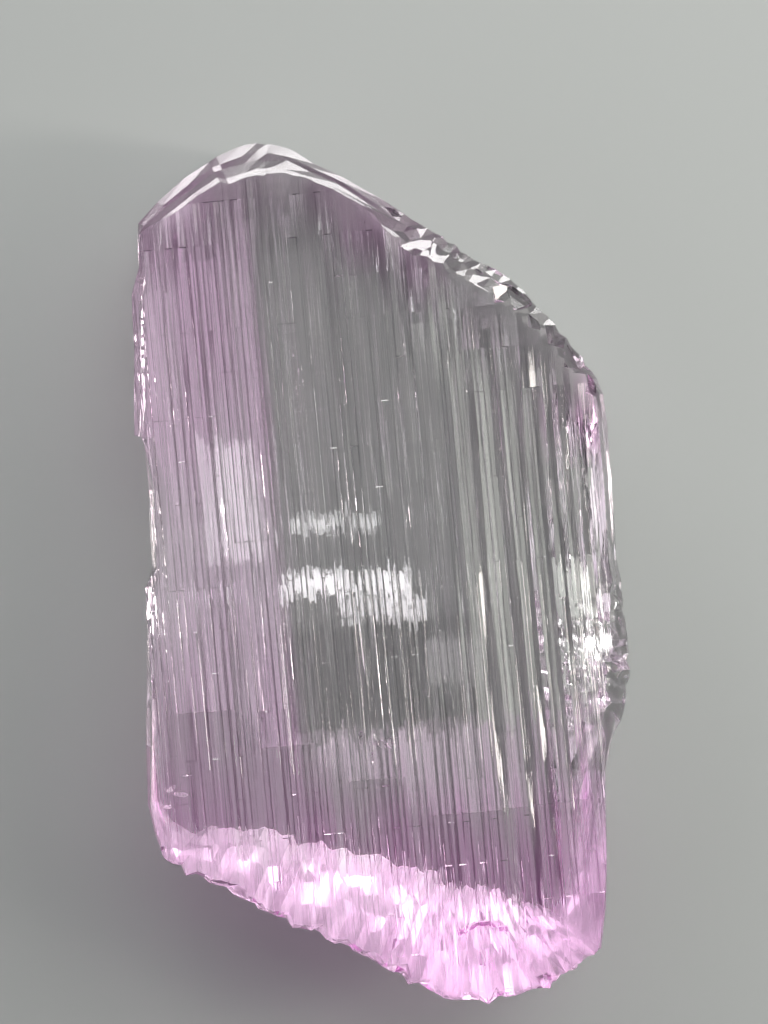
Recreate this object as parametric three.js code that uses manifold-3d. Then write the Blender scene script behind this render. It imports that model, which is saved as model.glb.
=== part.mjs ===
// Kunzite crystal: one flat, lengthwise-striated spodumene prism, with a sloping natural
// termination at one end and a broken base at the other. It lies on its back broad face.
// Millimetres. +Z is up, out of the front broad face. +Y runs along the crystal's long axis,
// towards the termination. The origin is on the resting plane, under the centre of the outline.

import * as THREE from "three";
import { mergeVertices } from "three/addons/utils/BufferGeometryUtils.js";
import Module from "manifold-3d";

const wasm = await Module();
wasm.setup();

// ---- Driving dimensions ----
const thickness = 15; // between the two broad faces
const blankWidth = 52; // the striated blank that the outline is cut from
const blankLength = 88;
const laneWidth = 0.65; // finest ridge that is modelled
const rowLength = 4; // spacing of the sections along the crystal
const overrun = 1.15; // how far the rim surface runs past each broad face, in bevel heights

// The rim, clockwise from the left end of the termination, seen from the front. Each corner is
// [x, y, height of its sharpest edge, bevel width in front, bevel width behind, raggedness].
const rim = [
  // termination, left slope up to the apex: a sloping face in front of an upright one
  [-18.9, 34.7, 13.9, 1.3, 0.4, 0.03],
  [-17.0, 36.6, 13.2, 2.3, 0.3, 0.03],
  [-14.2, 38.7, 13.1, 2.5, 0.3, 0.03],
  [-11.8, 39.9, 13.0, 2.6, 0.3, 0.04],
  [-11.1, 40.4, 12.5, 3.3, 0.3, 0.04],
  [-8.7, 41.3, 12.2, 3.6, 0.3, 0.05],
  [-7.2, 41.4, 12.1, 3.7, 0.3, 0.05],
  [-6.4, 41.1, 12.4, 3.4, 0.3, 0.05],
  [-5.8, 41.1, 12.4, 3.4, 0.3, 0.05],
  [-4.0, 40.4, 12.9, 2.8, 0.3, 0.04],
  // termination, right slope, clean at first and then splintery
  [-1.9, 38.8, 13.6, 1.9, 0.3, 0.04],
  [0.4, 37.4, 13.7, 1.7, 0.3, 0.05],
  [4.1, 34.8, 13.5, 1.9, 0.3, 0.08],
  [6.0, 33.4, 12.9, 2.7, 0.4, 0.16],
  [7.5, 32.4, 12.4, 3.4, 0.4, 0.2],
  [9.4, 30.9, 12.8, 2.8, 0.5, 0.16],
  [11.7, 29.0, 12.7, 2.8, 0.5, 0.2],
  [13.5, 27.8, 12.6, 2.9, 0.6, 0.18],
  [15.4, 26.2, 12.4, 3.2, 0.6, 0.18],
  [16.8, 24.9, 12.2, 3.3, 0.8, 0.2],
  [18.3, 23.0, 11.8, 3.4, 1.0, 0.18],
  [20.7, 19.7, 11.0, 3.0, 1.6, 0.16],
  [22.9, 16.5, 9.4, 2.2, 2.2, 0.12],
  [23.5, 14.9, 7.8, 2.0, 2.6, 0.06],
  // right side, a clean bevel and then the splintered bulge
  [23.75, 12.2, 6.5, 2.1, 3.0, 0.03],
  [23.65, 7.4, 6.5, 1.9, 3.2, 0.03],
  [23.55, 3.0, 6.5, 1.9, 3.2, 0.03],
  [23.4, -1.0, 6.5, 1.9, 3.4, 0.06],
  [23.55, -3.2, 7.0, 2.4, 3.6, 0.14],
  [23.5, -8.6, 7.5, 3.4, 3.8, 0.16],
  [23.6, -10.8, 7.5, 4.2, 4.0, 0.2],
  [23.4, -12.4, 7.5, 4.2, 4.0, 0.2],
  [22.65, -15.6, 7.5, 3.3, 3.8, 0.2],
  [21.3, -18.2, 8.0, 1.8, 3.4, 0.16],
  [20.4, -21.0, 8.5, 0.9, 3.0, 0.06],
  [20.1, -23.9, 9.0, 0.6, 3.0, 0.04],
  [19.6, -29.6, 9.5, 0.5, 3.2, 0.04],
  [19.1, -33.7, 10.0, 0.5, 3.8, 0.06],
  [18.2, -37.4, 11.5, 0.4, 5.0, 0.12],
  // broken base, undercut the most towards its right end
  [16.2, -38.5, 12.5, 0.4, 6.8, 0.28],
  [13.0, -39.85, 13.0, 0.4, 8.4, 0.3],
  [10.5, -40.5, 13.0, 0.4, 9.4, 0.28],
  [7.1, -41.0, 13.0, 0.4, 9.8, 0.26],
  [4.6, -40.5, 13.0, 0.4, 9.6, 0.28],
  [0.8, -38.7, 13.0, 0.4, 9.2, 0.3],
  [-3.6, -36.0, 13.0, 0.4, 8.6, 0.3],
  [-8.1, -33.2, 13.0, 0.4, 7.8, 0.28],
  [-11.9, -31.2, 13.0, 0.4, 7.0, 0.28],
  [-16.5, -28.2, 13.0, 0.4, 5.4, 0.28],
  [-20.7, -26.1, 12.0, 0.5, 4.0, 0.24],
  [-22.4, -25.1, 10.0, 0.8, 2.8, 0.16],
  // left side, from the foot up past the two ledges
  [-23.2, -22.9, 7.0, 0.9, 1.8, 0.08],
  [-23.7, -20.2, 5.5, 1.1, 1.2, 0.03],
  [-23.4, -14.6, 5.0, 1.4, 1.1, 0.03],
  [-23.0, -10.2, 5.0, 1.4, 1.1, 0.03],
  [-22.3, -2.5, 5.0, 0.9, 1.1, 0.04],
  [-22.0, 0.6, 5.0, 0.6, 1.1, 0.04],
  [-21.25, 2.4, 5.0, 1.2, 0.9, 0.03],
  [-21.0, 9.7, 5.0, 1.4, 0.9, 0.02],
  [-20.85, 13.4, 5.0, 0.8, 0.9, 0.02],
  [-20.9, 14.7, 5.0, 0.5, 0.9, 0.0],
  [-21.45, 14.9, 5.0, 0.4, 1.0, 0.0],
  [-21.15, 18.5, 5.0, 0.4, 1.0, 0.04],
  [-20.45, 28.1, 5.0, 0.5, 1.0, 0.06],
  [-19.75, 30.8, 7.0, 0.6, 0.9, 0.05],
  [-19.4, 33.8, 10.0, 0.7, 0.6, 0.04],
];
const cleanStep = 4; // longest side of a rim facet where the crystal is clean
const raggedStep = 0.85; // and where it is splintered or broken
const raggedFrom = 0.12; // raggedness past which the rim counts as splintered
const bevelRaggedness = 1.4; // how much a ragged bevel's width varies, per unit of raggedness
const edgeRaggedness = 3; // and the height of its edge
const leastBevel = 0.25; // narrowest that raggedness leaves a bevel
const rimBlend = 5; // how far the rim's general run is averaged over, for the bevels' direction

// The clean bevels rise in growth steps: [height, way in], as shares of the bevel behind the
// edge (negative heights) and of the bevel in front of it. Broken ones are straight instead.
const growthSteps = [
  [-0.74, 0.82],
  [-0.62, 0.57],
  [-0.44, 0.48],
  [-0.3, 0.22],
  [0, 0],
  [0.3, 0.26],
  [0.44, 0.5],
  [0.74, 0.7],
];
const stepUnevenness = 0.05; // how unevenly they run, as a share of the bevel
const steppedBelow = 0.15; // raggedness at which the last of the steps is gone
const hackle = 2; // how far a broken face stands in or out, per unit of raggedness

// Lengthwise ridges of the broad faces: bands of [lane width, reach along the crystal, depth].
const frontBands = [
  [2.6, 30, 0.16],
  [1.3, 21, 0.2],
  [0.65, 13, 0.2],
];
const backBands = [
  [2.6, 34, 0.24],
  [1.3, 26, 0.26],
  [0.65, 17, 0.18],
];
const lanePhases = 7; // most stretches by which one lane's start is put off from the next one's
const faintest = 0.12; // share of the ridges that is left past their tops
const backLand = 0.3; // depth of the back relief that is planed off, which leaves flat lands
const backRelief = 1.6; // how much deeper than its bands the rest of the back is cut
const restStrip = 1.95; // half width of the unbroken land along the middle of the back

// Across the front face: [x, drop below the front plane, strength of the ridges].
const frontForm = [
  [-26, 1.0, 0.7],
  [-21, 0.6, 0.8],
  [-17.4, 0.05, 1.0],
  [-9, 0.0, 1.0],
  [-8.4, 0.12, 1.0],
  [6.5, 0.0, 1.2],
  [10.5, 0.25, 1.8],
  [15.6, 0.9, 2.2],
  [19.6, 1.9, 2.0],
  [22, 2.9, 1.4],
  [26, 4.6, 0.8],
];
// The ridges die out below this line, [x, y, distance that they take to fade].
const ridgeTops = [
  [-26, 33, 3],
  [-19, 33, 3],
  [-11, 37.5, 3],
  [-4, 38, 4],
  [2, 34.5, 6],
  [8, 27.5, 7],
  [14, 22, 5],
  [19, 16, 5],
  [26, 12, 5],
];

// Coarse flutes of the front, deep in its right third and faint in the rest of it:
// [x, top, bottom, half width, depth].
const flutes = [
  [10.4, 21.5, -30, 0.65, 0.45],
  [13.0, 21.0, -34, 0.65, 0.6],
  [14.95, 20.0, -36, 0.65, 0.6],
  [16.9, 19.0, -28, 0.65, 0.75],
  [18.2, 18.0, -20, 0.65, 0.6],
  [19.5, 17.0, -14, 0.65, 0.65],
  [20.8, 9.5, -20, 0.65, 0.6],
  [-16.9, 30, 4, 0.65, 0.14],
  [-15.6, 28, 6, 0.65, 0.14],
  [-9.1, 33, -8, 0.65, 0.16],
  [-4.55, 30, -2, 0.65, 0.14],
  [-0.65, 24, -26, 0.65, 0.18],
  [4.55, 12, -34, 0.65, 0.22],
];
const fluteTopRun = 6; // a flute reaches its full depth this far below its top
const fluteFootRun = 14; // and this far above its bottom

// Chips split out of the rim along flat planes: [x, y, z, size along, through and down, turn].
const chips = [
  // along the splintered slope of the termination
  [5.4, 33.6, 14.6, 2.6, 1.0, 1.7, -34],
  [7.2, 31.9, 15.0, 2.2, 1.6, 1.5, -44],
  [9.0, 30.6, 14.6, 1.9, 1.9, 1.7, -30],
  [9.4, 31.6, 11.6, 2.4, 0.9, 2.6, -38],
  [11.2, 29.4, 13.9, 1.8, 1.3, 2.0, -52],
  [12.6, 27.6, 14.6, 2.3, 1.5, 1.6, -40],
  [14.0, 27.7, 11.4, 2.4, 0.9, 2.6, -42],
  [14.9, 25.4, 14.2, 1.8, 1.8, 1.6, -50],
  [16.3, 24.4, 13.6, 2.2, 1.4, 1.9, -44],
  [17.6, 22.3, 13.8, 1.8, 1.6, 1.5, -58],
  [18.6, 23.0, 9.6, 2.2, 0.9, 3.0, -50],
  [19.4, 20.6, 12.8, 1.9, 1.5, 1.8, -54],
  [21.0, 18.3, 12.4, 1.9, 1.5, 1.8, -62],
  [22.0, 18.0, 8.4, 2.0, 0.9, 2.8, -60],
  [22.6, 15.6, 11.4, 1.6, 1.3, 1.9, -68],
  // the splintered bulge
  [23.2, -2.2, 12.2, 2.4, 1.3, 1.8, -80],
  [22.4, -5.2, 13.2, 2.6, 1.6, 1.3, -98],
  [24.0, -6.6, 10.0, 2.4, 1.2, 2.4, -84],
  [21.6, -8.8, 13.4, 2.2, 1.9, 1.2, -70],
  [23.6, -9.8, 11.0, 2.0, 1.5, 2.0, -96],
  [21.8, -11.8, 12.9, 2.6, 1.6, 1.5, -104],
  [24.0, -12.8, 8.6, 2.2, 1.2, 2.6, -96],
  [22.4, -14.2, 11.8, 1.9, 1.4, 1.9, -112],
  [20.9, -16.0, 13.2, 2.0, 1.4, 1.3, -118],
  [21.9, -18.0, 9.8, 2.2, 0.9, 2.6, -108],
  // the foot of the left side and the broken base
  [-23.1, -24.9, 14.2, 1.8, 2.6, 2.8, 40],
  [-14.9, -29.7, 9.6, 3.0, 1.7, 2.6, -30],
  [-2.0, -36.2, 8.8, 3.4, 2.0, 2.8, -32],
  [12.4, -39.6, 9.6, 3.0, 1.8, 2.4, 15],
];
const chipTilt = 0.6; // most that a chip's planes lean over, in radians

// The run of scattered numbers that each kind of unevenness takes.
const seeds = { front: 3, back: 50, steps: 9, hackle: 11, chips: 77 };

// ---- Shape functions ----

// A repeatable number from 0 to 1 for each pair of whole numbers.
function scatter(i, j, seed) {
  const s = Math.sin(i * 127.1 + j * 311.7 + seed * 74.7) * 43758.5453;
  return s - Math.floor(s);
}

// The value at x of columns 1, 2, ... of a table whose column 0 rises.
function across(table, x) {
  const last = table.length - 1;
  const from = table.findIndex((row, i) => i === last || table[i + 1][0] >= x);
  const [a, b] = [table[Math.min(from, last - 1)], table[Math.min(from, last - 1) + 1]];
  const t = THREE.MathUtils.clamp((x - a[0]) / (b[0] - a[0]), 0, 1);
  return a.slice(1).map((value, k) => THREE.MathUtils.lerp(value, b[k + 1], t));
}

// How deep one lane of ridges is at y: each lane has its own stretches, which run into each other.
function laneDepth(lane, y, reach, seed) {
  const along = y / reach + scatter(lane, 0, seed) * lanePhases;
  const stretch = Math.floor(along);
  return THREE.MathUtils.lerp(
    scatter(lane, stretch, seed + 1),
    scatter(lane, stretch + 1, seed + 1),
    along - stretch,
  );
}

function ridgeDepth(bands, x, y, seed) {
  let depth = 0;
  bands.forEach(([lane, reach, most], k) => {
    const at = x / lane;
    const left = Math.floor(at);
    const here = laneDepth(left, y, reach, seed + 10 * k);
    const next = laneDepth(left + 1, y, reach, seed + 10 * k);
    depth += most * THREE.MathUtils.lerp(here, next, at - left);
  });
  return depth;
}

// A flute is a V that deepens from both ends.
function fluteDepth(x, y) {
  let depth = 0;
  for (const [middle, top, bottom, half, most] of flutes) {
    const side = 1 - Math.abs(x - middle) / half;
    const end = Math.min((top - y) / fluteTopRun, (y - bottom) / fluteFootRun, 1);
    if (side > 0 && end > 0) depth = Math.max(depth, most * side * end);
  }
  return depth;
}

function frontHeight(x, y) {
  const [drop, strength] = across(frontForm, x);
  const [top, fading] = across(ridgeTops, x);
  const fade = THREE.MathUtils.clamp((top - y) / fading, faintest, 1);
  const ridges = strength * fade * ridgeDepth(frontBands, x, y, seeds.front);
  return thickness - drop - ridges - fluteDepth(x, y);
}

function backHeight(x, y) {
  if (Math.abs(x) <= restStrip) return 0;
  return Math.max(0, backRelief * (ridgeDepth(backBands, x, y, seeds.back) - backLand));
}

// ---- Solids ----

// A closed three.js geometry as a manifold-3d solid.
function solidFrom(geometry) {
  geometry.deleteAttribute("normal");
  geometry.deleteAttribute("uv");
  const merged = mergeVertices(geometry, 1e-4);
  return new wasm.Manifold(
    new wasm.Mesh({
      numProp: 3,
      vertProperties: new Float32Array(merged.attributes.position.array),
      triVerts: new Uint32Array(merged.index.array),
    }),
  );
}

// The blank: a block whose two broad faces carry the lengthwise ridges.
function striatedBlank() {
  const blank = new THREE.BoxGeometry(
    blankWidth,
    blankLength,
    thickness,
    Math.round(blankWidth / laneWidth),
    Math.round(blankLength / rowLength),
    1,
  );
  const place = blank.attributes.position;
  for (let i = 0; i < place.count; i++) {
    const [x, y] = [place.getX(i), place.getY(i)];
    place.setZ(i, place.getZ(i) > 0 ? frontHeight(x, y) : backHeight(x, y));
  }
  return solidFrom(blank);
}

// The rim's corners with the ragged stretches broken up into small facets.
function rimStations() {
  const stations = [];
  rim.forEach((from, i) => {
    const to = rim[(i + 1) % rim.length];
    const run = Math.hypot(to[0] - from[0], to[1] - from[1]);
    const ragged = (from[5] + to[5]) / 2 > raggedFrom;
    const pieces = Math.max(1, Math.round(run / (ragged ? raggedStep : cleanStep)));
    for (let k = 0; k < pieces; k++) {
      const [x, y, edge, front, back, rough] = from.map((v, c) =>
        THREE.MathUtils.lerp(v, to[c], k / pieces),
      );
      const [out, lift, wide, deep] = [1, 2, 3, 4].map((seed) => 2 * scatter(i, k, seed) - 1);
      const push = (rough * out) / Math.max(run, 1e-6);
      stations.push({
        x: x - (to[1] - from[1]) * push,
        y: y + (to[0] - from[0]) * push,
        edge: edge + edgeRaggedness * rough * lift,
        front: Math.max(leastBevel, front + bevelRaggedness * rough * wide),
        back: Math.max(leastBevel, back + bevelRaggedness * rough * deep),
        rough,
      });
    }
  });
  return stations.reverse(); // anticlockwise, so that the skin faces out
}

// The way inwards from each station: square to the rim's general run, so ragged facets that
// lie side by side stay side by side.
function inwards(stations) {
  return stations.map(({ x, y }) => {
    const pull = new THREE.Vector2();
    stations.forEach((from, i) => {
      const to = stations[(i + 1) % stations.length];
      const [dx, dy] = [to.x - from.x, to.y - from.y];
      const away = Math.hypot((from.x + to.x) / 2 - x, (from.y + to.y) / 2 - y);
      const weight = Math.exp(-((away / rimBlend) ** 2));
      pull.x -= weight * dy;
      pull.y += weight * dx;
    });
    return pull.normalize();
  });
}

// A point on the bevels above or below a rim station.
function bevelPoint({ x, y, edge, front, back, rough }, inward, height, way, stand) {
  const [rise, width] = height < 0 ? [edge, back] : [thickness - edge, front];
  const clean = Math.max(0, 1 - rough / steppedBelow);
  const by = width * THREE.MathUtils.lerp(Math.abs(height), way, clean) + hackle * rough * stand;
  return new THREE.Vector3(x + by * inward.x, y + by * inward.y, edge + rise * height);
}

// The rim surface: bevels that open from the front face down to the sharp edge and close again
// to the back face, as one closed skin that runs past both broad faces.
function rimEnvelope() {
  const stations = rimStations();
  const inward = inwards(stations);
  const steps = [[-overrun, overrun], ...growthSteps, [overrun, overrun]];
  const rings = steps.map(([height, way], r) =>
    stations.map((station, i) => {
      const inside = height !== 0 && Math.abs(height) < 1;
      const uneven = inside ? stepUnevenness * (2 * scatter(i, r, seeds.steps) - 1) : 0;
      const stand = inside ? 2 * scatter(i, r, seeds.hackle) - 1 : 0;
      return bevelPoint(station, inward[i], height + uneven, way + uneven, stand);
    }),
  );
  const count = stations.length;
  const points = rings.flat().flatMap((point) => point.toArray());
  const faces = [];
  for (let r = 0; r + 1 < rings.length; r++)
    for (let i = 0; i < count; i++) {
      const [a, b] = [r * count + i, r * count + ((i + 1) % count)];
      faces.push(a, b, b + count, a, b + count, a + count);
    }
  const top = (rings.length - 1) * count;
  const cap = (ring) => THREE.ShapeUtils.triangulateShape(ring, []);
  for (const [a, b, c] of cap(rings[0])) faces.push(a, c, b);
  for (const [a, b, c] of cap(rings.at(-1))) faces.push(top + a, top + b, top + c);
  const skin = new THREE.BufferGeometry();
  skin.setAttribute("position", new THREE.Float32BufferAttribute(points, 3));
  skin.setIndex(faces);
  return solidFrom(skin);
}

// One chip: an eight-sided wedge, leaning its own way.
function chip([x, y, z, along, through, down, turn], number) {
  const [lean, roll] = [1, 2].map((k) => chipTilt * (2 * scatter(number, k, seeds.chips) - 1));
  const shape = new THREE.OctahedronGeometry(1, 0);
  shape.scale(along, through, down).rotateX(lean).rotateY(roll);
  shape.rotateZ(THREE.MathUtils.degToRad(turn)).translate(x, y, z);
  return solidFrom(shape);
}

function crystalGeometry() {
  let crystal = striatedBlank().intersect(rimEnvelope());
  for (const wedge of chips.map(chip)) crystal = crystal.subtract(wedge);
  const { vertProperties, triVerts } = crystal.getMesh();
  const geometry = new THREE.BufferGeometry();
  geometry.setAttribute("position", new THREE.BufferAttribute(vertProperties, 3));
  geometry.setIndex(new THREE.BufferAttribute(triVerts, 1));
  return geometry;
}

const kunzite = new THREE.Mesh(
  crystalGeometry(),
  new THREE.MeshStandardMaterial({ color: 0xd9b9d8, roughness: 0.08, metalness: 0 }),
);
kunzite.name = "kunzite_crystal";

const specimen = new THREE.Group();
specimen.add(kunzite);
export default specimen;
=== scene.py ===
import math

import bpy
import numpy as np
from mathutils import Euler, Matrix, Vector


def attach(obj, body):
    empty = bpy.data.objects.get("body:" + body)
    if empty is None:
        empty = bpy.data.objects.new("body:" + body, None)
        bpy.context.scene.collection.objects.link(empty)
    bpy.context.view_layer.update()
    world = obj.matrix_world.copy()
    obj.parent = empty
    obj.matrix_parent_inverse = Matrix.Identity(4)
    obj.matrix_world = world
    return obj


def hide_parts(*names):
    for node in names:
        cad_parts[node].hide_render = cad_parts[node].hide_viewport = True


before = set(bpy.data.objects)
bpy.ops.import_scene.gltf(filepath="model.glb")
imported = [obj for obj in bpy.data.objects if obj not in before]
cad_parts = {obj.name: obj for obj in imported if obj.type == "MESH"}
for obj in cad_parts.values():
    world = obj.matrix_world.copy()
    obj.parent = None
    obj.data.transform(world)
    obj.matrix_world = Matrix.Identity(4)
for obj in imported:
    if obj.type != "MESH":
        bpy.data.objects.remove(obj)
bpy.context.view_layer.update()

MM = 0.001

# ---- The striated blank ----
# The crystal grew as a flat prism of kunzite, a clear lilac spodumene. Its two broad faces grew in
# narrow terraces along its length: flat lands that meet in steep steps. The blank is a block with
# those terraces on both faces, and the crystal's outline is broken and bevelled out of it.

BLANK_WIDTH = 52.0
BLANK_LENGTH = 88.0
THICKNESS = 15.0
LANE = 0.65  # the solid's finest ridges
ROW = 4.0  # and the spacing of its sections
LAND_END = 0.04  # half the length of the step at a land's end
# where in a lane the terraces and the fine lines may step down, and where the grooves run
FRONT_STEPS = (0, 1 / 6, 1 / 4, 1 / 2, 3 / 4, 5 / 6)
BACK_STEPS = (0, 1 / 2)
GROOVES = (3 / 8, 5 / 8)
FRONT_WALL, BACK_WALL = 0.024, 0.0015  # half the width of the thickest step's wall
THINNEST = 0.25  # and of the thinnest, as a share of it
GROOVE_HALF, GROOVE_DEPTH, GROOVE_REACH = 0.05, 0.038, 24

# bands of ridges: lane width, reach along the crystal, depth
FRONT_BANDS = [(2.6, 30, 0.16), (1.3, 21, 0.2), (0.65, 13, 0.2)]
BACK_BANDS = [(2.6, 34, 0.24), (1.3, 26, 0.26), (0.65, 17, 0.18)]
FINE_BANDS = [(LANE / 2, 30.0, 0.06), (LANE / 3, 22.0, 0.05)]
FINE_ON_BACK = 0.1  # depth of the back's fine lines, as a share of the front's
LANE_PHASES = 7
FAINTEST = 0.12
BACK_LAND = 0.3
BACK_RELIEF = 1.6
REST_STRIP, REST_RUN = 1.95, 4.0  # half the strip it rests on, and how gently the back rises from it
BACK_LEVEL, BACK_STEP = 0.35, 0.08  # the back's mean level and its relief, as a share of the solid's
SUNK = 0.03  # the terraces lie at least this far inside the solid's own faces
FRONT_LAND, BACK_LANDS = 4, 10  # how many rows one land stays level
LAND_LEAN = 0.002  # most that it leans, as rise over run

# across the front: x, drop below the front plane, strength of the ridges
FRONT_FORM = [
    (-26, 1.0, 0.7),
    (-21, 0.6, 0.8),
    (-17.4, 0.05, 1.0),
    (-9, 0.0, 1.0),
    (-8.4, 0.12, 1.0),
    (6.5, 0.0, 1.2),
    (10.5, 0.25, 1.8),
    (15.6, 0.9, 2.2),
    (19.6, 1.9, 2.0),
    (22, 2.9, 1.4),
    (26, 4.6, 0.8),
]
# the ridges die out below this line: x, y, distance that they take to fade
RIDGE_TOPS = [
    (-26, 33, 3),
    (-19, 33, 3),
    (-11, 37.5, 3),
    (-4, 38, 4),
    (2, 34.5, 6),
    (8, 27.5, 7),
    (14, 22, 5),
    (19, 16, 5),
    (26, 12, 5),
]
BARE = 0.45  # share of a fine line's length that is left flat
# across the front: x, strength of the fine lines
FINE_FORM = [(-26, 0.3), (-17, 0.3), (-14.5, 0.4), (-9, 0.35), (-8, 0.5), (6, 0.6), (11, 1.0), (26, 0.8)]
# coarse flutes, whose two sides slope, and shallow ones, which are terraces: x, top, bottom, half
# width, depth
FLUTES = [
    (10.4, 21.5, -30, 0.65, 0.45),
    (13.0, 21.0, -34, 0.65, 0.6),
    (14.95, 20.0, -36, 0.65, 0.6),
    (16.9, 19.0, -28, 0.65, 0.75),
    (18.2, 18.0, -20, 0.65, 0.6),
    (19.5, 17.0, -14, 0.65, 0.65),
    (20.8, 9.5, -20, 0.65, 0.6),
]
SHALLOW_FLUTES = [
    (-16.9, 30, 4, 0.65, 0.14),
    (-15.6, 28, 6, 0.65, 0.14),
    (-9.1, 33, -8, 0.65, 0.16),
    (-4.55, 30, -2, 0.65, 0.14),
    (-0.65, 24, -26, 0.65, 0.18),
    (4.55, 12, -34, 0.65, 0.22),
]
FLUTE_TOP_RUN = 6
FLUTE_FOOT_RUN = 14


def scatter(i, j, seed):
    """A repeatable number from 0 to 1 for each pair of whole numbers."""
    s = np.sin(i * 127.1 + j * 311.7 + seed * 74.7) * 43758.5453
    return s - np.floor(s)


def lane_depth(lane, y, reach, seed):
    along = y / reach + scatter(lane, 0, seed) * LANE_PHASES
    stretch = np.floor(along)
    here, after = scatter(lane, stretch, seed + 1), scatter(lane, stretch + 1, seed + 1)
    return here + (after - here) * (along - stretch)


def ridge_depth(bands, x, y, seed):
    """The solid's ridges, whose sides slope from lane to lane."""
    depth = np.zeros_like(x)
    for k, (lane, reach, most) in enumerate(bands):
        at = x / lane
        left = np.floor(at)
        here = lane_depth(left, y, reach, seed + 10 * k)
        after = lane_depth(left + 1, y, reach, seed + 10 * k)
        depth += most * (here + (after - here) * (at - left))
    return depth


def across(table, x, column):
    return np.interp(x, [row[0] for row in table], [row[column] for row in table])


def but_for_bare(line):
    """A line's depth from 0 to 1, with stretches of its length left flat."""
    return np.maximum(0, line - BARE) / (1 - BARE)


def fine_depth(x, y, seed):
    """Fine lines are flat across and meet in steps, with bare stretches between them."""
    depth = np.zeros_like(x)
    for k, (lane, reach, most) in enumerate(FINE_BANDS):
        line = lane_depth(np.floor(x / lane + 0.5 - 1e-6), y, reach, seed + 10 * k)
        depth += most * but_for_bare(line)
    return depth


def flute_depth(flutes, x, y):
    depth = np.zeros_like(x)
    for middle, top, bottom, half, most in flutes:
        side = 1 - np.abs(x - middle) / half
        end = np.minimum(np.minimum((top - y) / FLUTE_TOP_RUN, (y - bottom) / FLUTE_FOOT_RUN), 1)
        depth = np.maximum(depth, np.where((side > 0) & (end > 0), most * side * end, 0))
    return depth


def fading(x, y, least):
    return np.clip((across(RIDGE_TOPS, x, 1) - y) / across(RIDGE_TOPS, x, 2), least, 1)


def front_ridges(x, y):
    strength = across(FRONT_FORM, x, 2) * fading(x, y, FAINTEST)
    depth = strength * ridge_depth(FRONT_BANDS, x, y, 3) + flute_depth(SHALLOW_FLUTES, x, y)
    return THICKNESS - across(FRONT_FORM, x, 1) - depth


def front_solid(x, y):
    return front_ridges(x, y) - flute_depth(FLUTES, x, y)


def back_solid(x, y):
    ridges = BACK_RELIEF * (ridge_depth(BACK_BANDS, x, y, 50) - BACK_LAND)
    return np.where(np.abs(x) <= REST_STRIP + 1e-9, 0.0, np.maximum(0, ridges))


def on_solid_facets(height, x, y):
    """The height of the solid's own triangles at x, y."""
    column = np.floor((x + BLANK_WIDTH / 2) / LANE + 1e-9)
    row = np.floor((y + BLANK_LENGTH / 2) / ROW + 1e-9)
    x0, y0 = column * LANE - BLANK_WIDTH / 2, row * ROW - BLANK_LENGTH / 2
    u, v = (x - x0) / LANE, (y - y0) / ROW
    low_left, low_right = height(x0, y0), height(x0 + LANE, y0)
    top_left, top_right = height(x0, y0 + ROW), height(x0 + LANE, y0 + ROW)
    below = low_left + u * (low_right - low_left) + v * (top_right - low_right)
    above = low_left + v * (top_left - low_left) + u * (top_right - top_left)
    return np.where(u > v, below, above)


def lands(height, x, y, deeper, reach, seed):
    """Terraces that lie level, but for a hair, over one stretch of a lane or half lane.

    Each lies at the deepest spot that the solid has under it.
    """
    lane = np.floor(x / LANE + 0.5 - 1e-6)
    phase = np.floor(scatter(lane, 0, seed) * reach) * ROW
    stretch = np.floor((y - phase) / (reach * ROW))
    start = stretch * reach * ROW + phase
    middle, left, right = [
        deeper.reduce([height((lane + aside) * LANE, start + k * ROW) for k in range(reach + 1)])
        for aside in (0, -1, 1)
    ]
    left, right = (middle + left) / 2, (middle + right) / 2
    whole = deeper(middle, deeper(left, right))
    half = deeper(middle, np.where(x < lane * LANE, left, right))
    level = np.where(scatter(lane, 0, 90) > 0.5, whole, half)
    lean = LAND_LEAN * (2 * scatter(lane, stretch, seed + 1) - 1)
    return level + lean * (y - start - reach * ROW / 2)


def groove_depth(x, y, seed):
    """Thin V-shaped grooves, which come and go along their length."""
    lane = np.floor(x / LANE)
    depth = np.zeros_like(x)
    for number, place in enumerate(GROOVES):
        side = np.maximum(0, 1 - np.abs(x - (lane + place) * LANE) / GROOVE_HALF)
        line = lane_depth(lane, y, GROOVE_REACH, seed + 10 * number)
        depth += GROOVE_DEPTH * side * but_for_bare(line)
    return depth


def front_height(x, y):
    fine = across(FINE_FORM, x, 1) * (fine_depth(x, y, 130) + groove_depth(x, y, 250))
    facets = on_solid_facets(front_solid, x, y)
    levels = lands(front_ridges, x, y, np.minimum, FRONT_LAND, 210)
    levels = facets + (levels - facets) * fading(x, y, 0)
    return np.minimum(levels, facets) - SUNK - fading(x, y, 0) * fine


def back_height(x, y):
    """Each half lane of the back is flat across, and it steps up from the strip that it rests on."""
    x = (np.floor(2 * x / LANE) + 0.5) * LANE / 2
    level = BACK_LEVEL + BACK_STEP * lands(back_solid, x, y, np.maximum, BACK_LANDS, 230)
    rise = np.clip((np.abs(x) - REST_STRIP) / REST_RUN, 0, 1)
    return rise * level + SUNK + FINE_ON_BACK * fine_depth(x, y, 170)


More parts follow.
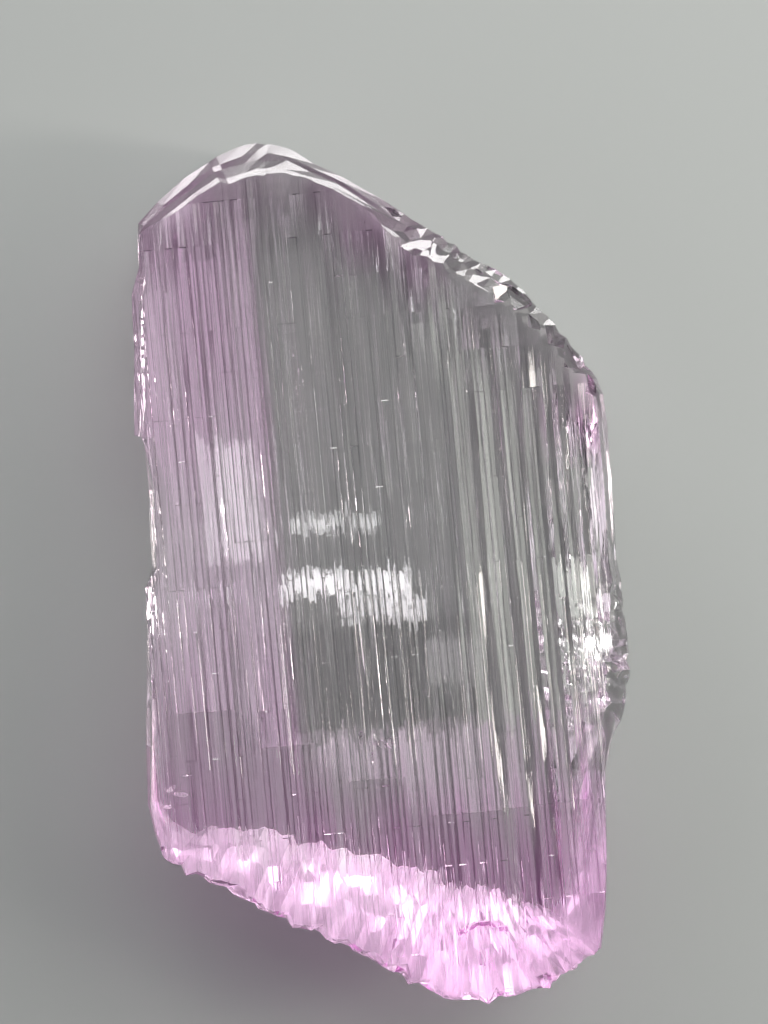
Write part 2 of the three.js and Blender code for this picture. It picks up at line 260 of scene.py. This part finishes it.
def columns_at(steps, grooves, thickest):
    """Two columns for each step's wall, at its top and foot, and three for each groove."""
    half = BLANK_WIDTH / 2
    lane = np.arange(-round(half / LANE), round(half / LANE) + 1)
    step = np.add.outer(lane, steps) * LANE
    groove = np.add.outer(lane, grooves) * LANE
    wall = THINNEST * thickest + (1 - THINNEST) * thickest * scatter(step * 10, 0, 300) ** 2
    columns = [step - wall, step + wall, groove - GROOVE_HALF, groove, groove + GROOVE_HALF]
    columns = np.concatenate([column.ravel() for column in columns] + [[-half, half]])
    return np.unique(columns[np.abs(columns) <= half])


def terraced_sheet(name, columns, height, flipped):
    sections = np.arange(1, round(BLANK_LENGTH / ROW)) * ROW - BLANK_LENGTH / 2
    ends = np.add.outer(sections, (-LAND_END, LAND_END)).ravel()
    rows = np.concatenate([[-BLANK_LENGTH / 2], ends, [BLANK_LENGTH / 2]])
    across_count, along_count = len(columns) - 1, len(rows) - 1
    bpy.ops.object.select_all(action="DESELECT")
    bpy.ops.mesh.primitive_grid_add(x_subdivisions=across_count, y_subdivisions=along_count, size=1)
    sheet = bpy.context.object
    sheet.name = name
    spot = np.empty(len(sheet.data.vertices) * 3)
    sheet.data.vertices.foreach_get("co", spot)
    spot = spot.reshape(-1, 3)
    x = columns[np.rint((spot[:, 0] + 0.5) * across_count).astype(int)]
    y = rows[np.rint((spot[:, 1] + 0.5) * along_count).astype(int)]
    spot = np.stack([x, y, height(x, y)], axis=1) * MM
    sheet.data.vertices.foreach_set("co", spot.ravel())
    sheet.data.update()
    if flipped:
        sheet.data.flip_normals()
    return sheet


front_columns = columns_at(FRONT_STEPS, GROOVES, FRONT_WALL)
back_columns = columns_at(BACK_STEPS, (), BACK_WALL)
front_sheet = terraced_sheet("front_sheet", front_columns, front_height, False)
back_sheet = terraced_sheet("back_sheet", back_columns, back_height, True)
bpy.ops.object.select_all(action="DESELECT")
back_sheet.select_set(True)
front_sheet.select_set(True)
bpy.context.view_layer.objects.active = front_sheet
bpy.ops.object.join()
blank = bpy.context.object
bpy.ops.object.mode_set(mode="EDIT")
bpy.ops.mesh.select_mode(type="EDGE")
bpy.ops.mesh.select_all(action="DESELECT")
bpy.ops.mesh.select_non_manifold()
bpy.ops.mesh.bridge_edge_loops()
bpy.ops.mesh.select_all(action="SELECT")
bpy.ops.mesh.quads_convert_to_tris(quad_method="FIXED", ngon_method="BEAUTY")
bpy.ops.mesh.normals_make_consistent(inside=False)
bpy.ops.object.mode_set(mode="OBJECT")

# ---- The flaws ----
# Thin cracks and feathers inside the clear crystal, each a gap of a few hundredths of a millimetre
# between two bowed walls that mirror the light, and small etch pits that natural acids left in the
# front face.

BOW = 0.12  # how far a crack's walls bow
# place, half sizes, tilt in degrees
FLAWS = [
    # the feather in the middle, a knot of small flakes
    ((-0.2, -16.4, 8.2), (0.8, 0.28, 0.02), (38, 12, -34)),
    ((0.5, -15.8, 8.4), (0.55, 0.22, 0.02), (30, -8, 12)),
    ((-1.2, -15.9, 8.6), (0.35, 0.7, 0.02), (24, 40, 28)),
    ((-2.6, -15.2, 8.5), (0.5, 0.25, 0.02), (34, -20, 48)),
    ((-1.7, -17.6, 7.8), (0.25, 0.65, 0.02), (20, 42, 8)),
    # cleavage cracks behind the bulge
    ((19.4, -3.6, 8.0), (2.6, 3.6, 0.03), (14, 43, 32)),
    ((20.6, -8.2, 7.0), (2.4, 3.0, 0.03), (-10, 41, 38)),
    ((18.4, -10.6, 8.6), (1.8, 2.8, 0.03), (12, 46, 26)),
    # short cracks across the length, at the foot of the left side
    ((-20.9, -18.7, 9.0), (0.5, 0.9, 0.02), (72, 10, 20)),
    ((-20.1, -19.3, 8.6), (0.7, 0.6, 0.02), (64, -6, -14)),
    ((-21.5, -20.4, 8.2), (0.4, 1.0, 0.02), (74, 0, -8)),
    ((-19.4, -17.5, 9.6), (0.5, 0.7, 0.02), (80, 4, 2)),
    # the bruise in the base, a row of small flakes
    ((5.3, -34.8, 9.0), (0.6, 0.4, 0.02), (-34, 10, 32)),
    ((6.1, -34.3, 9.1), (0.8, 0.35, 0.02), (-40, 4, 20)),
    ((7.2, -34.0, 9.2), (0.9, 0.35, 0.02), (-36, -6, -2)),
    ((8.3, -34.2, 9.1), (0.8, 0.4, 0.02), (-42, 6, -16)),
    ((9.2, -34.8, 9.0), (0.6, 0.35, 0.02), (-34, -12, -34)),
]

cutters = []
for number, (place, half, tilt) in enumerate(FLAWS):
    bpy.ops.object.select_all(action="DESELECT")
    bpy.ops.mesh.primitive_uv_sphere_add(segments=36, ring_count=18, radius=1)
    flaw = bpy.context.object
    for vertex in flaw.data.vertices:
        bow = BOW * math.sin(2.1 * vertex.co.x + number) * math.cos(1.7 * vertex.co.y)
        vertex.co = Vector(
            (vertex.co.x * half[0], vertex.co.y * half[1], vertex.co.z * half[2] + bow)
        )
    flaw.rotation_euler = Euler([math.radians(angle) for angle in tilt])
    flaw.location = place
    bpy.ops.object.transform_apply(location=True, rotation=True, scale=True)
    flaw.data.transform(Matrix.Scale(MM, 4))
    cutters.append(flaw)

# etch pits in the front face: small shallow pyramids, point down, strewn about a few lines
PITS = 260
PIT_LINES = (-14.5, -8.5, -7.0, -1.5, 2.5, 6.5, 11.5)
STRAY = 3.0  # how far pits stray from their line
PITS_FROM, PITS_SPAN = -36, 70  # where along the crystal they lie
PIT_LEAST, PIT_MORE = 0.06, 0.13  # half the width of the smallest pit, and what the largest adds
PIT_LEAN, PIT_TURN = 0.4, 3
bpy.ops.object.select_all(action="DESELECT")
bpy.ops.mesh.primitive_cone_add(vertices=4, radius1=0, radius2=1, depth=1)
pit = bpy.context.object
along_face, size, turn, stray, steep = [scatter(np.arange(PITS), k, 31) for k in range(5)]
x = np.resize(PIT_LINES, PITS) + STRAY * (2 * stray - 1) * np.abs(2 * turn - 1)
y = PITS_FROM + PITS_SPAN * along_face
surface = front_height(x, y)
size = PIT_LEAST + PIT_MORE * size**3
for number in range(PITS):
    copy = pit.copy()
    copy.data = pit.data.copy()
    lean_x, lean_y = PIT_LEAN * (turn[number] - 0.5), PIT_LEAN * (steep[number] - 0.5)
    leaning = Euler((lean_x, lean_y, PIT_TURN * turn[number]))
    depth = size[number] * (0.5 + 0.8 * steep[number])
    copy.data.transform(
        Matrix.Translation(Vector((x[number], y[number], surface[number])) * MM)
        @ leaning.to_matrix().to_4x4()
        @ Matrix.Diagonal((size[number] * MM, size[number] * MM, depth * MM, 1))
    )
    bpy.context.collection.objects.link(copy)
    cutters.append(copy)
bpy.data.objects.remove(pit)
bpy.ops.object.select_all(action="DESELECT")
for flaw in cutters:
    flaw.select_set(True)
bpy.context.view_layer.objects.active = cutters[0]
bpy.ops.object.join()
flaws = bpy.context.object

# ---- The crystal ----
# One natural piece of kunzite: the terraced blank inside the solid's bevels, termination and broken
# base, with the flaws cut out. Its colour lies in zones: pink down the left side and in the base,
# and next to none in the middle.

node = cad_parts["kunzite_crystal"]
bpy.ops.object.select_all(action="DESELECT")
crystal = node.copy()
crystal.data = node.data.copy()
crystal.name = "crystal"
bpy.context.collection.objects.link(crystal)
crystal.parent = None
crystal.select_set(True)
bpy.context.view_layer.objects.active = crystal
bpy.ops.object.mode_set(mode="EDIT")
bpy.ops.mesh.select_all(action="SELECT")
bpy.ops.mesh.remove_doubles(threshold=1e-6)
bpy.ops.object.mode_set(mode="OBJECT")

for source, slot_name in ((crystal, "rim"), (blank, "grown"), (flaws, "flaw")):
    source.data.materials.clear()
    source.data.materials.append(bpy.data.materials.new(slot_name))
    source.data.polygons.foreach_set("material_index", [0] * len(source.data.polygons))
for operation, other in (("INTERSECT", blank), ("DIFFERENCE", flaws)):
    cut = crystal.modifiers.new("cut", "BOOLEAN")
    cut.operation = operation
    cut.object = other
    cut.solver = "MANIFOLD"
    bpy.ops.object.modifier_apply(modifier="cut")
    bpy.data.objects.remove(other)

# how frosted each face is, from 0 to 1: the broken ones the most
TERMINATION = ([-20, -7, 5, 23.5], [33.5, 37.5, 30.5, 12])  # x and y of its lower edge
BASE = ([-24, 7, 19, 24], [-22.5, -38.5, -37.0, -34])  # and of the base's
BROKEN, SPLINTERED, WORN_LEFT, WORN_RIGHT = 0.75, 0.3, 0.5, 0.35
UNDERCUT = 0.75  # how far the base runs in under the crystal, as a share of the depth
faces = crystal.data.polygons
slot_of_face = np.array([crystal.data.materials[face.material_index].name for face in faces])
middle = np.array([face.center for face in faces]) / MM
x, y, z = middle[:, 0], middle[:, 1], middle[:, 2]
splintered = (x > 18) & (y > -20) & (y < -2)
frost = np.where(y > np.interp(x, *TERMINATION), np.where(x > 5, WORN_RIGHT, WORN_LEFT), 0.0)
frost = np.where(splintered, SPLINTERED, frost)
broken = BROKEN * np.clip((THICKNESS + 0.5 - z) / 4, 0.3, 1)  # the least at the front edge
frost = np.where(y < np.interp(x, *BASE) + 3 + UNDERCUT * (THICKNESS - z), broken, frost)
frost = np.where(slot_of_face == "rim", frost, 0.0)
mask = crystal.data.attributes.new("frost", "FLOAT", "FACE")
mask.data.foreach_set("value", frost.astype(np.float32))
faces.foreach_set("material_index", [0] * len(faces))


def drift(x, y, size_x, size_y, seed):
    """Smooth wandering values from -1 to 1, over patches of the given size."""
    u, v = x / size_x, y / size_y
    i, j = np.floor(u), np.floor(v)
    u, v = u - i, v - j
    u, v = u * u * (3 - 2 * u), v * v * (3 - 2 * v)
    low = scatter(i, j, seed) * (1 - u) + scatter(i + 1, j, seed) * u
    high = scatter(i, j + 1, seed) * (1 - u) + scatter(i + 1, j + 1, seed) * u
    return 2 * (low * (1 - v) + high * v) - 1


def fade_out(value, start, end):
    t = np.clip((value - start) / (end - start), 0, 1)
    return 1 - t * t * (3 - 2 * t)


# how pink each point is
spots = np.empty(len(crystal.data.vertices) * 3)
crystal.data.vertices.foreach_get("co", spots)
x, y = spots.reshape(-1, 3)[:, 0] / MM, spots.reshape(-1, 3)[:, 1] / MM
streaks = drift(x, y, 0.9, 30, 5) + 0.6 * drift(x, y, 0.4, 18, 6)
left_zone = fade_out(x + 0.5 * drift(x, y, 3, 9, 7), -9.4, -8.0)
left_zone *= np.interp(y, [-28, -16, 0, 6, 14, 40], [0.85, 0.6, 0.3, 0.22, 0.5, 0.62])
left_zone *= np.clip(0.85 + 0.35 * drift(x, y, 2.2, 11, 8) + 0.15 * streaks, 0, 1)
base_top = np.interp(x, [-24, 8, 14, 20, 24], [-13, -22, -19, -16, -14])
reach = np.interp(x, [4, 10], [3, 6])
base_zone = fade_out(y - base_top + 1.5 * drift(x, y, 4, 4, 9) + reach * streaks, -11, 1)
top_zone = fade_out(np.interp(x, *TERMINATION) - y + 1.2 * streaks, 0.5, 4.0)
top_zone *= np.interp(
    x, [-20, -9, -4, 0, 7, 10, 18, 22], [0.5, 0.3, 0.1, 0.45, 0.5, 0.05, 0.05, 0.4]
)
shoulder = 0.9 * fade_out(np.hypot((x - 21.5) / 1.6, (y - 14) / 3.5), 0.6, 1.2)
pink = np.maximum.reduce([left_zone, base_zone, top_zone, shoulder])
zones = crystal.data.attributes.new("pink", "FLOAT", "POINT")
zones.data.foreach_set("value", pink.astype(np.float32))

kunzite = bpy.data.materials.new("kunzite")
kunzite.use_nodes = True
nodes, links = kunzite.node_tree.nodes, kunzite.node_tree.links
shader = nodes["Principled BSDF"]
shader.inputs["IOR"].default_value = 1.66
shader.inputs["Transmission Weight"].default_value = 1.0


def add(kind, **values):
    made = nodes.new(kind)
    for key, value in values.items():
        setattr(made, key, value)
    return made


def ramp(value, low, high, from_value=0.0, to_value=1.0):
    made = add("ShaderNodeMapRange", interpolation_type="SMOOTHSTEP")
    links.new(value, made.inputs["Value"])
    for name, number in (
        ("From Min", low),
        ("From Max", high),
        ("To Min", from_value),
        ("To Max", to_value),
    ):
        made.inputs[name].default_value = number
    return made.outputs["Result"]


place = add("ShaderNodeTexCoord").outputs["Object"]
zone = add("ShaderNodeAttribute", attribute_name="pink").outputs["Fac"]
tint = add("ShaderNodeMix", data_type="RGBA")
links.new(zone, tint.inputs["Factor"])
tint.inputs["A"].default_value = (0.99, 0.99, 0.985, 1)
tint.inputs["B"].default_value = (0.99, 0.52, 0.93, 1)
frosted = add("ShaderNodeAttribute", attribute_name="frost").outputs["Fac"]
links.new(ramp(frosted, 0, 1, 0.0, 0.42), shader.inputs["Roughness"])


def noise(stretch):
    mapping = add("ShaderNodeMapping")
    mapping.inputs["Scale"].default_value = stretch
    links.new(place, mapping.inputs["Vector"])
    made = add("ShaderNodeTexNoise")
    made.inputs["Scale"].default_value = 1.0
    made.inputs["Detail"].default_value = 0.0
    links.new(mapping.outputs["Vector"], made.inputs["Vector"])
    return made.outputs["Fac"]


def times(one, other):
    made = add("ShaderNodeMath", operation="MULTIPLY")
    links.new(one, made.inputs[0])
    links.new(other, made.inputs[1])
    return made.outputs["Value"]


# painted shade: dark growth lines on the smooth faces, standing for the shade of striations too fine to
# be shape;
# each runs dead straight and comes and goes along its length; the frosted faces get an even painted
# shade
SHADE_LINES, SHADE_PATCHES = (6800, 0, 300), (1100, 45, 300)  # how closely they lie, per metre
# painted shade in fine straight lines, coming and going in patches
line_shade = times(ramp(noise(SHADE_LINES), 0.56, 0.72), ramp(noise(SHADE_PATCHES), 0.38, 0.6))
painted_shade = add("ShaderNodeMath", operation="ADD")
links.new(times(line_shade, ramp(frosted, 0, 0.25, 1.0, 0.0)), painted_shade.inputs[0])
# an even painted shade on the frosted faces, which tones down the glow of the broken base
links.new(ramp(frosted, 0.5, 0.75, 0.0, 0.6), painted_shade.inputs[1])
# the painted shade multiplies the crystal's colour towards grey
shaded_colour = add("ShaderNodeMix", data_type="RGBA", blend_type="MULTIPLY")
links.new(painted_shade.outputs["Value"], shaded_colour.inputs["Factor"])
links.new(tint.outputs["Result"], shaded_colour.inputs["A"])
shaded_colour.inputs["B"].default_value = (0.6, 0.6, 0.6, 1)
links.new(shaded_colour.outputs["Result"], shader.inputs["Base Color"])

absorption = nodes.new("ShaderNodeVolumeAbsorption")
absorption.inputs["Color"].default_value = (0.95, 0.6, 0.92, 1)
absorption.inputs["Density"].default_value = 3
links.new(absorption.outputs["Volume"], nodes["Material Output"].inputs["Volume"])
crystal.data.materials.clear()
crystal.data.materials.append(kunzite)
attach(crystal, "root")
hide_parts("kunzite_crystal")

# ---- The table and the light ----
# The crystal lies on a plain pale table. A wide window stands behind its termination and another to
# its right, low enough to shine along it. The light overhead isn't plain: sheets, some of them
# tinted, and small strips hang there for the camera alone, each placed so that its mirrored image
# falls on one part of the level lands.

bpy.ops.object.select_all(action="DESELECT")
bpy.ops.mesh.primitive_plane_add(size=3, location=(0, 0, -0.00003))
floor = bpy.context.object
floor.name = "floor"
bpy.ops.object.transform_apply(location=True)
paper = bpy.data.materials.new("paper")
paper.use_nodes = True
matte = paper.node_tree.nodes["Principled BSDF"]
matte.inputs["Base Color"].default_value = (0.45, 0.475, 0.465, 1)
matte.inputs["Roughness"].default_value = 0.9
floor.data.materials.append(paper)

# name, place, width, height, brightness, colour, and how far it is turned, in degrees, if it hangs
# overhead and faces straight down; the others face the crystal
LIGHTS = [
    ("back_window_low", (0.05, 0.6, 0.12), 1.4, 0.2, 12.5, (1, 0.98, 0.97), None),
    ("right_window", (0.3, 0.08, 0.16), 0.3, 0.28, 2.2, (1, 1, 0.94), None),
    ("right_strip", (0.3, -0.025, 0.12), 0.035, 0.2, 16.0, (1, 0.92, 0.87), None),
    ("left_card", (-0.4, -0.05, 0.2), 0.3, 0.3, 0.8, (1, 0.98, 1), None),
    ("soft_box", (0.25, 0.3, 0.7), 0.4, 0.4, 1.7, (1, 1, 1), None),
    ("left_veil", (-0.048, 0.01, 0.6), 0.038, 0.2, 2.9, (1, 0.88, 0.99), 0),
    ("middle_veil", (-0.003, 0.03, 0.62), 0.052, 0.11, 0.6, (0.98, 1, 0.98), 0),
    ("base_veil", (0.016, -0.081, 0.6), 0.09, 0.053, 3.0, (1, 0.8, 0.96), 0),
    ("right_veil", (0.041, 0.01, 0.6), 0.035, 0.13, 3.0, (0.96, 1, 0.9), 0),
    ("left_lamp", (-0.0386, 0.012, 0.59), 0.0134, 0.0327, 3.2, (1, 0.97, 0.99), 0),
    ("upper_strip", (-0.012, 0.0037, 0.6), 0.024, 0.004, 5.0, (1, 1, 1), -5.3),
    ("middle_strip", (-0.0141, -0.0125, 0.6), 0.0432, 0.006, 9.5, (1, 0.98, 1), -5.3),
    ("lower_strip", (-0.0012, -0.0209, 0.6), 0.0245, 0.0058, 6.0, (1, 0.97, 1), -5.3),
    ("faint_strip", (0.034, -0.0384, 0.6), 0.049, 0.012, 1.6, (1, 0.96, 0.98), -5.3),
]
for name, spot, width, height, brightness, colour, turned in LIGHTS:
    light = bpy.data.lights.new(name, "AREA")
    light.shape = "RECTANGLE"
    light.size, light.size_y = width, height
    light.energy = brightness * math.pi * width * height
    light.color = colour
    lamp = bpy.data.objects.new(name, light)
    bpy.context.collection.objects.link(lamp)
    lamp.location = spot
    aim = (Vector((0, 0, 0.01)) - Vector(spot)).to_track_quat("-Z", "Y").to_euler()
    lamp.rotation_euler = aim if turned is None else (0, 0, math.radians(turned))
    lamp.visible_camera = False

room = bpy.data.worlds.new("room")
bpy.context.scene.world = room
room.use_nodes = True
air = room.node_tree.nodes["Background"]
air.inputs["Color"].default_value = (0.09, 0.095, 0.095, 1)
air.inputs["Strength"].default_value = 1.0

# light crosses the crystal's length in many bounces
cycles = bpy.context.scene.cycles
cycles.max_bounces = 8
cycles.glossy_bounces = 6
cycles.transmission_bounces = 7
bpy.context.scene.view_settings.view_transform = "Standard"

# ---- The camera ----
# It looks straight down on the crystal from the height of a head bent over the table.
ROLL = math.radians(5.3)
camera_data = bpy.data.cameras.new("camera")
camera_data.sensor_width = 36
camera_data.lens = 114.6
camera = bpy.data.objects.new("camera", camera_data)
bpy.context.collection.objects.link(camera)
up = Vector((math.sin(ROLL), math.cos(ROLL), 0))
right = up.cross(Vector((0, 0, 1)))
turn = Matrix((right, up, Vector((0, 0, 1)))).transposed().to_4x4()
camera.matrix_world = Matrix.Translation(Vector((0.00156, 0.00559, 0.320))) @ turn
bpy.context.scene.camera = camera
